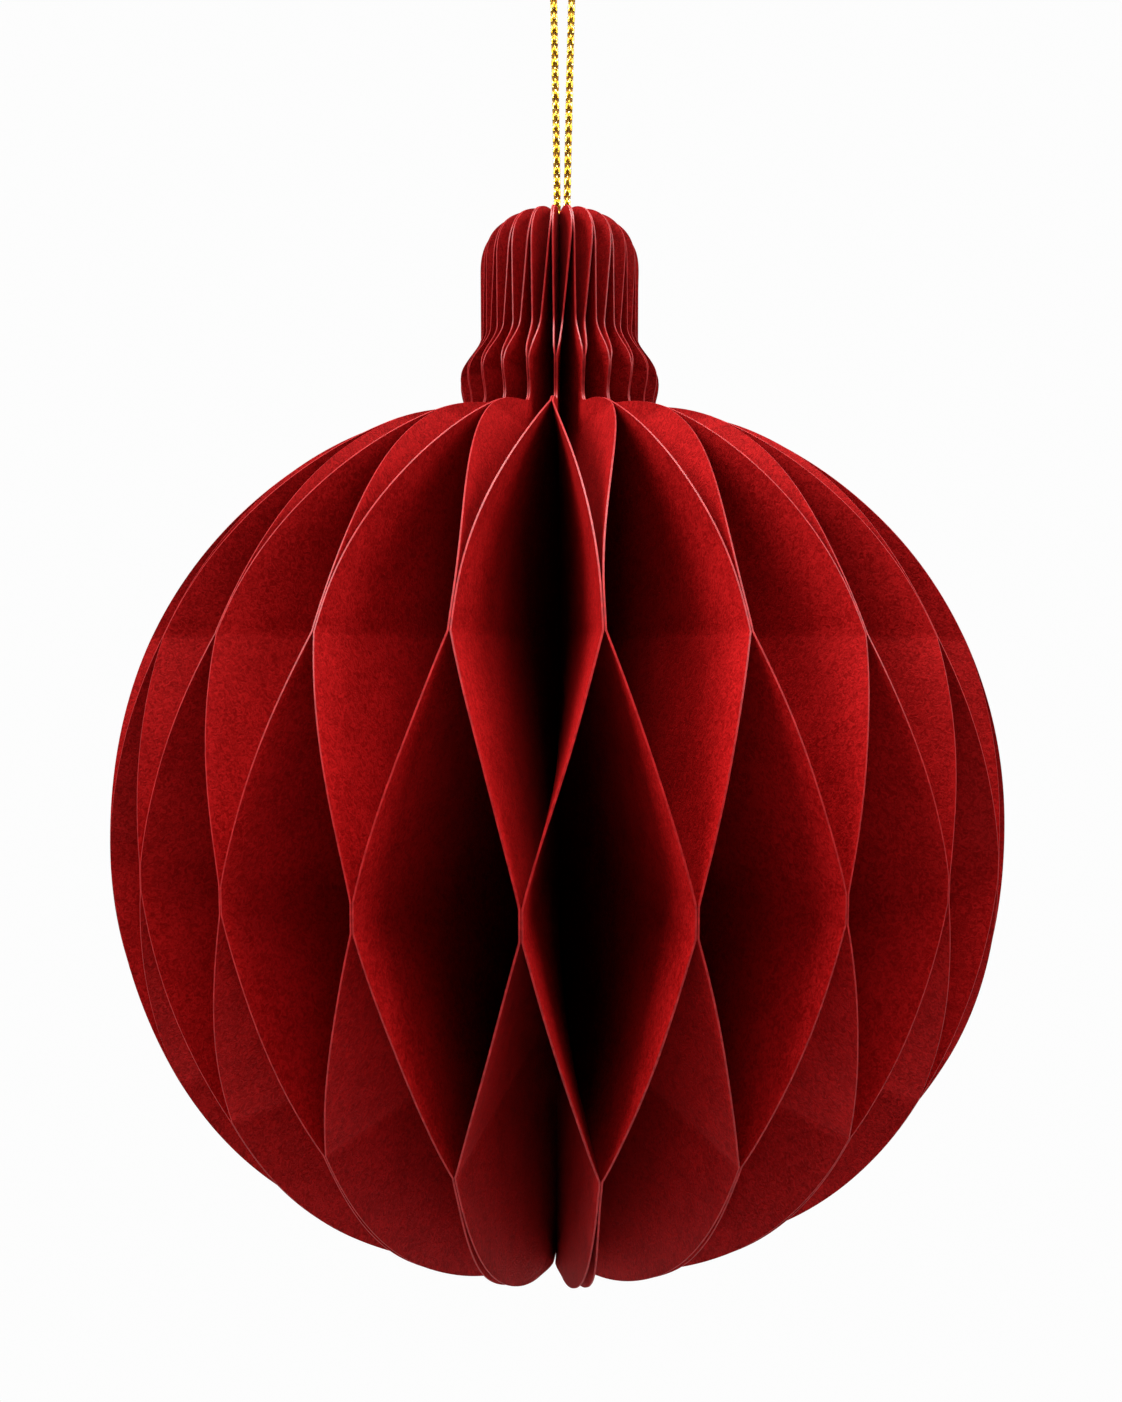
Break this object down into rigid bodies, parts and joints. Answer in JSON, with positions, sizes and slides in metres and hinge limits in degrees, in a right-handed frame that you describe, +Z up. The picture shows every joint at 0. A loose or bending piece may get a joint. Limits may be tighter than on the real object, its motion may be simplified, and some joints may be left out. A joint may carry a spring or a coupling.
{
  "type": "folding honeycomb paper bauble",
  "caption": "Honeycomb paper bauble: card leaves glued in turn round a hollow core fan open into a capped ball, closed by magnets and hung from a metallic cord loop.",
  "frame": {"origin": "inside top of the cord loop, where it rests on its hook", "axes": "+Z up along the hollow core, -Y towards the viewer, +X to the viewer's right"},
  "size_m": [0.1502, 0.1502, 0.2433],
  "materials": {
    "red_card": "matt, lightly fibrous heavy card",
    "gold_cord": "metallic gold yarn, braided",
    "magnet_plating": "nickel-plated"
  },
  "bodies": {
    "held_leaf": {"leaf_24": "red_card", "hanging_cord": "gold_cord", "cord_knot": "gold_cord"},
    "turning_leaf_01": {"leaf_01": "red_card"},
    "turning_leaf_02": {"leaf_02": "red_card"},
    "turning_leaf_03": {"leaf_03": "red_card"},
    "turning_leaf_04": {"leaf_04": "red_card"},
    "turning_leaf_05": {"leaf_05": "red_card"},
    "turning_leaf_06": {"leaf_06": "red_card"},
    "turning_leaf_07": {"leaf_07": "red_card"},
    "turning_leaf_08": {"leaf_08": "red_card"},
    "turning_leaf_09": {"leaf_09": "red_card"},
    "turning_leaf_10": {"leaf_10": "red_card"},
    "turning_leaf_11": {"leaf_11": "red_card"},
    "turning_leaf_12": {"leaf_12": "red_card"},
    "turning_leaf_13": {"leaf_13": "red_card"},
    "turning_leaf_14": {"leaf_14": "red_card"},
    "turning_leaf_15": {"leaf_15": "red_card"},
    "turning_leaf_16": {"leaf_16": "red_card"},
    "turning_leaf_17": {"leaf_17": "red_card"},
    "turning_leaf_18": {"leaf_18": "red_card"},
    "turning_leaf_19": {"leaf_19": "red_card"},
    "turning_leaf_20": {"leaf_20": "red_card"},
    "turning_leaf_21": {"leaf_21": "red_card"},
    "turning_leaf_22": {"leaf_22": "red_card"},
    "turning_leaf_23": {"leaf_23": "red_card"},
    "turning_leaf_25": {"leaf_25": "red_card"},
    "turning_leaf_26": {"leaf_26": "red_card"},
    "turning_leaf_27": {"leaf_27": "red_card"},
    "turning_leaf_28": {"leaf_28": "red_card"},
    "turning_leaf_29": {"leaf_29": "red_card"},
    "turning_leaf_30": {"leaf_30": "red_card"},
    "turning_leaf_31": {"leaf_31": "red_card"},
    "turning_leaf_32": {"leaf_32": "red_card"},
    "turning_leaf_33": {"leaf_33": "red_card"},
    "turning_leaf_34": {"leaf_34": "red_card"},
    "turning_leaf_35": {"leaf_35": "red_card"},
    "turning_leaf_36": {"leaf_36": "red_card"},
    "turning_leaf_37": {"leaf_37": "red_card"},
    "turning_leaf_38": {"leaf_38": "red_card"},
    "turning_leaf_39": {"leaf_39": "red_card"},
    "turning_leaf_40": {"leaf_40": "red_card"},
    "turning_leaf_41": {"leaf_41": "red_card"},
    "turning_leaf_42": {"leaf_42": "red_card"},
    "turning_leaf_43": {"leaf_43": "red_card"},
    "turning_leaf_44": {"leaf_44": "red_card"},
    "turning_leaf_45": {"leaf_45": "red_card"},
    "turning_leaf_46": {"leaf_46": "red_card"},
    "turning_leaf_47": {"leaf_47": "red_card"},
    "turning_leaf_48": {"leaf_48": "red_card"},
    "first_cover_magnets": {"upper_magnet_first_cover": "magnet_plating", "lower_magnet_first_cover": "magnet_plating"},
    "last_cover_magnets": {"upper_magnet_last_cover": "magnet_plating", "lower_magnet_last_cover": "magnet_plating"}
  },
  "joints": [
    {"name": "leaf_01_turn", "type": "hinge", "parent": "held_leaf", "child": "turning_leaf_01", "pos_m": [-0.00127, 0.00359, -0.1627], "axis": [0, 0, 1], "range_deg": [0, 172.5], "deforming": ["leaf_01"]},
    {"name": "leaf_02_turn", "type": "hinge", "parent": "held_leaf", "child": "turning_leaf_02", "pos_m": [-0.00145, 0.00336, -0.1627], "axis": [0, 0, 1], "range_deg": [0, 165], "deforming": ["leaf_02"]},
    {"name": "leaf_03_turn", "type": "hinge", "parent": "held_leaf", "child": "turning_leaf_03", "pos_m": [-0.0016, 0.00315, -0.1627], "axis": [0, 0, 1], "range_deg": [0, 157.5], "deforming": ["leaf_03"]},
    {"name": "leaf_04_turn", "type": "hinge", "parent": "held_leaf", "child": "turning_leaf_04", "pos_m": [-0.00175, 0.00294, -0.1627], "axis": [0, 0, 1], "range_deg": [0, 150], "deforming": ["leaf_04"]},
    {"name": "leaf_05_turn", "type": "hinge", "parent": "held_leaf", "child": "turning_leaf_05", "pos_m": [-0.00188, 0.00273, -0.1627], "axis": [0, 0, 1], "range_deg": [0, 142.5], "deforming": ["leaf_05"]},
    {"name": "leaf_06_turn", "type": "hinge", "parent": "held_leaf", "child": "turning_leaf_06", "pos_m": [-0.00199, 0.00252, -0.1627], "axis": [0, 0, 1], "range_deg": [0, 135], "deforming": ["leaf_06"]},
    {"name": "leaf_07_turn", "type": "hinge", "parent": "held_leaf", "child": "turning_leaf_07", "pos_m": [-0.00209, 0.00232, -0.1627], "axis": [0, 0, 1], "range_deg": [0, 127.5], "deforming": ["leaf_07"]},
    {"name": "leaf_08_turn", "type": "hinge", "parent": "held_leaf", "child": "turning_leaf_08", "pos_m": [-0.00218, 0.00213, -0.1627], "axis": [0, 0, 1], "range_deg": [0, 120], "deforming": ["leaf_08"]},
    {"name": "leaf_09_turn", "type": "hinge", "parent": "held_leaf", "child": "turning_leaf_09", "pos_m": [-0.00226, 0.00193, -0.1627], "axis": [0, 0, 1], "range_deg": [0, 112.5], "deforming": ["leaf_09"]},
    {"name": "leaf_10_turn", "type": "hinge", "parent": "held_leaf", "child": "turning_leaf_10", "pos_m": [-0.00233, 0.00174, -0.1627], "axis": [0, 0, 1], "range_deg": [0, 105], "deforming": ["leaf_10"]},
    {"name": "leaf_11_turn", "type": "hinge", "parent": "held_leaf", "child": "turning_leaf_11", "pos_m": [-0.00239, 0.00155, -0.1627], "axis": [0, 0, 1], "range_deg": [0, 97.5], "deforming": ["leaf_11"]},
    {"name": "leaf_12_turn", "type": "hinge", "parent": "held_leaf", "child": "turning_leaf_12", "pos_m": [-0.00244, 0.00137, -0.1627], "axis": [0, 0, 1], "range_deg": [0, 90], "deforming": ["leaf_12"]},
    {"name": "leaf_13_turn", "type": "hinge", "parent": "held_leaf", "child": "turning_leaf_13", "pos_m": [-0.00248, 0.00119, -0.1627], "axis": [0, 0, 1], "range_deg": [0, 82.5], "deforming": ["leaf_13"]},
    {"name": "leaf_14_turn", "type": "hinge", "parent": "held_leaf", "child": "turning_leaf_14", "pos_m": [-0.00252, 0.001, -0.1627], "axis": [0, 0, 1], "range_deg": [0, 75], "deforming": ["leaf_14"]},
    {"name": "leaf_15_turn", "type": "hinge", "parent": "held_leaf", "child": "turning_leaf_15", "pos_m": [-0.00254, 0.00083, -0.1627], "axis": [0, 0, 1], "range_deg": [0, 67.5], "deforming": ["leaf_15"]},
    {"name": "leaf_16_turn", "type": "hinge", "parent": "held_leaf", "child": "turning_leaf_16", "pos_m": [-0.00256, 0.00065, -0.1627], "axis": [0, 0, 1], "range_deg": [0, 60], "deforming": ["leaf_16"]},
    {"name": "leaf_17_turn", "type": "hinge", "parent": "held_leaf", "child": "turning_leaf_17", "pos_m": [-0.00257, 0.00048, -0.1627], "axis": [0, 0, 1], "range_deg": [0, 52.5], "deforming": ["leaf_17"]},
    {"name": "leaf_18_turn", "type": "hinge", "parent": "held_leaf", "child": "turning_leaf_18", "pos_m": [-0.00257, 0.0003, -0.1627], "axis": [0, 0, 1], "range_deg": [0, 45], "deforming": ["leaf_18"]},
    {"name": "leaf_19_turn", "type": "hinge", "parent": "held_leaf", "child": "turning_leaf_19", "pos_m": [-0.00256, 0.00013, -0.1627], "axis": [0, 0, 1], "range_deg": [0, 37.5], "deforming": ["leaf_19"]},
    {"name": "leaf_20_turn", "type": "hinge", "parent": "held_leaf", "child": "turning_leaf_20", "pos_m": [-0.00255, -0.00003, -0.1627], "axis": [0, 0, 1], "range_deg": [0, 30], "deforming": ["leaf_20"]},
    {"name": "leaf_21_turn", "type": "hinge", "parent": "held_leaf", "child": "turning_leaf_21", "pos_m": [-0.00253, -0.0002, -0.1627], "axis": [0, 0, 1], "range_deg": [0, 22.5], "deforming": ["leaf_21"]},
    {"name": "leaf_22_turn", "type": "hinge", "parent": "held_leaf", "child": "turning_leaf_22", "pos_m": [-0.0025, -0.00036, -0.1627], "axis": [0, 0, 1], "range_deg": [0, 15], "deforming": ["leaf_22"]},
    {"name": "leaf_23_turn", "type": "hinge", "parent": "held_leaf", "child": "turning_leaf_23", "pos_m": [-0.00247, -0.00052, -0.1627], "axis": [0, 0, 1], "range_deg": [0, 7.5], "deforming": ["leaf_23"]},
    {"name": "leaf_25_turn", "type": "hinge", "parent": "held_leaf", "child": "turning_leaf_25", "pos_m": [-0.00238, -0.00084, -0.1627], "axis": [0, 0, 1], "range_deg": [-7.5, 0], "deforming": ["leaf_25"]},
    {"name": "leaf_26_turn", "type": "hinge", "parent": "held_leaf", "child": "turning_leaf_26", "pos_m": [-0.00232, -0.001, -0.1627], "axis": [0, 0, 1], "range_deg": [-15, 0], "deforming": ["leaf_26"]},
    {"name": "leaf_27_turn", "type": "hinge", "parent": "held_leaf", "child": "turning_leaf_27", "pos_m": [-0.00226, -0.00115, -0.1627], "axis": [0, 0, 1], "range_deg": [-22.5, 0], "deforming": ["leaf_27"]},
    {"name": "leaf_28_turn", "type": "hinge", "parent": "held_leaf", "child": "turning_leaf_28", "pos_m": [-0.00219, -0.0013, -0.1627], "axis": [0, 0, 1], "range_deg": [-30, 0], "deforming": ["leaf_28"]},
    {"name": "leaf_29_turn", "type": "hinge", "parent": "held_leaf", "child": "turning_leaf_29", "pos_m": [-0.00212, -0.00145, -0.1627], "axis": [0, 0, 1], "range_deg": [-37.5, 0], "deforming": ["leaf_29"]},
    {"name": "leaf_30_turn", "type": "hinge", "parent": "held_leaf", "child": "turning_leaf_30", "pos_m": [-0.00203, -0.0016, -0.1627], "axis": [0, 0, 1], "range_deg": [-45, 0], "deforming": ["leaf_30"]},
    {"name": "leaf_31_turn", "type": "hinge", "parent": "held_leaf", "child": "turning_leaf_31", "pos_m": [-0.00194, -0.00175, -0.1627], "axis": [0, 0, 1], "range_deg": [-52.5, 0], "deforming": ["leaf_31"]},
    {"name": "leaf_32_turn", "type": "hinge", "parent": "held_leaf", "child": "turning_leaf_32", "pos_m": [-0.00184, -0.00189, -0.1627], "axis": [0, 0, 1], "range_deg": [-60, 0], "deforming": ["leaf_32"]},
    {"name": "leaf_33_turn", "type": "hinge", "parent": "held_leaf", "child": "turning_leaf_33", "pos_m": [-0.00174, -0.00203, -0.1627], "axis": [0, 0, 1], "range_deg": [-67.5, 0], "deforming": ["leaf_33"]},
    {"name": "leaf_34_turn", "type": "hinge", "parent": "held_leaf", "child": "turning_leaf_34", "pos_m": [-0.00162, -0.00217, -0.1627], "axis": [0, 0, 1], "range_deg": [-75, 0], "deforming": ["leaf_34"]},
    {"name": "leaf_35_turn", "type": "hinge", "parent": "held_leaf", "child": "turning_leaf_35", "pos_m": [-0.0015, -0.00231, -0.1627], "axis": [0, 0, 1], "range_deg": [-82.5, 0], "deforming": ["leaf_35"]},
    {"name": "leaf_36_turn", "type": "hinge", "parent": "held_leaf", "child": "turning_leaf_36", "pos_m": [-0.00137, -0.00244, -0.1627], "axis": [0, 0, 1], "range_deg": [-90, 0], "deforming": ["leaf_36"]},
    {"name": "leaf_37_turn", "type": "hinge", "parent": "held_leaf", "child": "turning_leaf_37", "pos_m": [-0.00123, -0.00258, -0.1627], "axis": [0, 0, 1], "range_deg": [-97.5, 0], "deforming": ["leaf_37"]},
    {"name": "leaf_38_turn", "type": "hinge", "parent": "held_leaf", "child": "turning_leaf_38", "pos_m": [-0.00108, -0.0027, -0.1627], "axis": [0, 0, 1], "range_deg": [-105, 0], "deforming": ["leaf_38"]},
    {"name": "leaf_39_turn", "type": "hinge", "parent": "held_leaf", "child": "turning_leaf_39", "pos_m": [-0.00092, -0.00283, -0.1627], "axis": [0, 0, 1], "range_deg": [-112.5, 0], "deforming": ["leaf_39"]},
    {"name": "leaf_40_turn", "type": "hinge", "parent": "held_leaf", "child": "turning_leaf_40", "pos_m": [-0.00075, -0.00295, -0.1627], "axis": [0, 0, 1], "range_deg": [-120, 0], "deforming": ["leaf_40"]},
    {"name": "leaf_41_turn", "type": "hinge", "parent": "held_leaf", "child": "turning_leaf_41", "pos_m": [-0.00057, -0.00308, -0.1627], "axis": [0, 0, 1], "range_deg": [-127.5, 0], "deforming": ["leaf_41"]},
    {"name": "leaf_42_turn", "type": "hinge", "parent": "held_leaf", "child": "turning_leaf_42", "pos_m": [-0.00038, -0.00319, -0.1627], "axis": [0, 0, 1], "range_deg": [-135, 0], "deforming": ["leaf_42"]},
    {"name": "leaf_43_turn", "type": "hinge", "parent": "held_leaf", "child": "turning_leaf_43", "pos_m": [-0.00017, -0.00331, -0.1627], "axis": [0, 0, 1], "range_deg": [-142.5, 0], "deforming": ["leaf_43"]},
    {"name": "leaf_44_turn", "type": "hinge", "parent": "held_leaf", "child": "turning_leaf_44", "pos_m": [0.00004, -0.00342, -0.1627], "axis": [0, 0, 1], "range_deg": [-150, 0], "deforming": ["leaf_44"]},
    {"name": "leaf_45_turn", "type": "hinge", "parent": "held_leaf", "child": "turning_leaf_45", "pos_m": [0.00028, -0.00352, -0.1627], "axis": [0, 0, 1], "range_deg": [-157.5, 0], "deforming": ["leaf_45"]},
    {"name": "leaf_46_turn", "type": "hinge", "parent": "held_leaf", "child": "turning_leaf_46", "pos_m": [0.00053, -0.00362, -0.1627], "axis": [0, 0, 1], "range_deg": [-165, 0], "deforming": ["leaf_46"]},
    {"name": "leaf_47_turn", "type": "hinge", "parent": "held_leaf", "child": "turning_leaf_47", "pos_m": [0.00079, -0.00372, -0.1627], "axis": [0, 0, 1], "range_deg": [-172.5, 0], "deforming": ["leaf_47"]},
    {"name": "fold", "type": "hinge", "parent": "held_leaf", "child": "turning_leaf_48", "pos_m": [0.00107, -0.00381, -0.1627], "axis": [0, 0, 1], "range_deg": [-180, 0], "deforming": ["leaf_48", "leaf_24"]},
    {"name": "first_cover_strip_turn", "type": "hinge", "parent": "turning_leaf_01", "child": "first_cover_magnets", "pos_m": [0.00218, 0.00094, -0.1627], "axis": [0, 0, 1], "range_deg": [0, 3.75]},
    {"name": "last_cover_strip_turn", "type": "hinge", "parent": "turning_leaf_48", "child": "last_cover_magnets", "pos_m": [0.00228, 0.00064, -0.1627], "axis": [0, 0, 1], "range_deg": [-3.75, 0]}
  ],
  "couplings": [
    {"joint": "leaf_01_turn", "follows": "fold", "ratio": -0.95833},
    {"joint": "leaf_02_turn", "follows": "fold", "ratio": -0.91667},
    {"joint": "leaf_03_turn", "follows": "fold", "ratio": -0.875},
    {"joint": "leaf_04_turn", "follows": "fold", "ratio": -0.83333},
    {"joint": "leaf_05_turn", "follows": "fold", "ratio": -0.79167},
    {"joint": "leaf_06_turn", "follows": "fold", "ratio": -0.75},
    {"joint": "leaf_07_turn", "follows": "fold", "ratio": -0.70833},
    {"joint": "leaf_08_turn", "follows": "fold", "ratio": -0.66667},
    {"joint": "leaf_09_turn", "follows": "fold", "ratio": -0.625},
    {"joint": "leaf_10_turn", "follows": "fold", "ratio": -0.58333},
    {"joint": "leaf_11_turn", "follows": "fold", "ratio": -0.54167},
    {"joint": "leaf_12_turn", "follows": "fold", "ratio": -0.5},
    {"joint": "leaf_13_turn", "follows": "fold", "ratio": -0.45833},
    {"joint": "leaf_14_turn", "follows": "fold", "ratio": -0.41667},
    {"joint": "leaf_15_turn", "follows": "fold", "ratio": -0.375},
    {"joint": "leaf_16_turn", "follows": "fold", "ratio": -0.33333},
    {"joint": "leaf_17_turn", "follows": "fold", "ratio": -0.29167},
    {"joint": "leaf_18_turn", "follows": "fold", "ratio": -0.25},
    {"joint": "leaf_19_turn", "follows": "fold", "ratio": -0.20833},
    {"joint": "leaf_20_turn", "follows": "fold", "ratio": -0.16667},
    {"joint": "leaf_21_turn", "follows": "fold", "ratio": -0.125},
    {"joint": "leaf_22_turn", "follows": "fold", "ratio": -0.083333},
    {"joint": "leaf_23_turn", "follows": "fold", "ratio": -0.041667},
    {"joint": "leaf_25_turn", "follows": "fold", "ratio": 0.041667},
    {"joint": "leaf_26_turn", "follows": "fold", "ratio": 0.083333},
    {"joint": "leaf_27_turn", "follows": "fold", "ratio": 0.125},
    {"joint": "leaf_28_turn", "follows": "fold", "ratio": 0.16667},
    {"joint": "leaf_29_turn", "follows": "fold", "ratio": 0.20833},
    {"joint": "leaf_30_turn", "follows": "fold", "ratio": 0.25},
    {"joint": "leaf_31_turn", "follows": "fold", "ratio": 0.29167},
    {"joint": "leaf_32_turn", "follows": "fold", "ratio": 0.33333},
    {"joint": "leaf_33_turn", "follows": "fold", "ratio": 0.375},
    {"joint": "leaf_34_turn", "follows": "fold", "ratio": 0.41667},
    {"joint": "leaf_35_turn", "follows": "fold", "ratio": 0.45833},
    {"joint": "leaf_36_turn", "follows": "fold", "ratio": 0.5},
    {"joint": "leaf_37_turn", "follows": "fold", "ratio": 0.54167},
    {"joint": "leaf_38_turn", "follows": "fold", "ratio": 0.58333},
    {"joint": "leaf_39_turn", "follows": "fold", "ratio": 0.625},
    {"joint": "leaf_40_turn", "follows": "fold", "ratio": 0.66667},
    {"joint": "leaf_41_turn", "follows": "fold", "ratio": 0.70833},
    {"joint": "leaf_42_turn", "follows": "fold", "ratio": 0.75},
    {"joint": "leaf_43_turn", "follows": "fold", "ratio": 0.79167},
    {"joint": "leaf_44_turn", "follows": "fold", "ratio": 0.83333},
    {"joint": "leaf_45_turn", "follows": "fold", "ratio": 0.875},
    {"joint": "leaf_46_turn", "follows": "fold", "ratio": 0.91667},
    {"joint": "leaf_47_turn", "follows": "fold", "ratio": 0.95833},
    {"joint": "first_cover_strip_turn", "follows": "fold", "ratio": -0.020833},
    {"joint": "last_cover_strip_turn", "follows": "fold", "ratio": 0.020833}
  ]
}
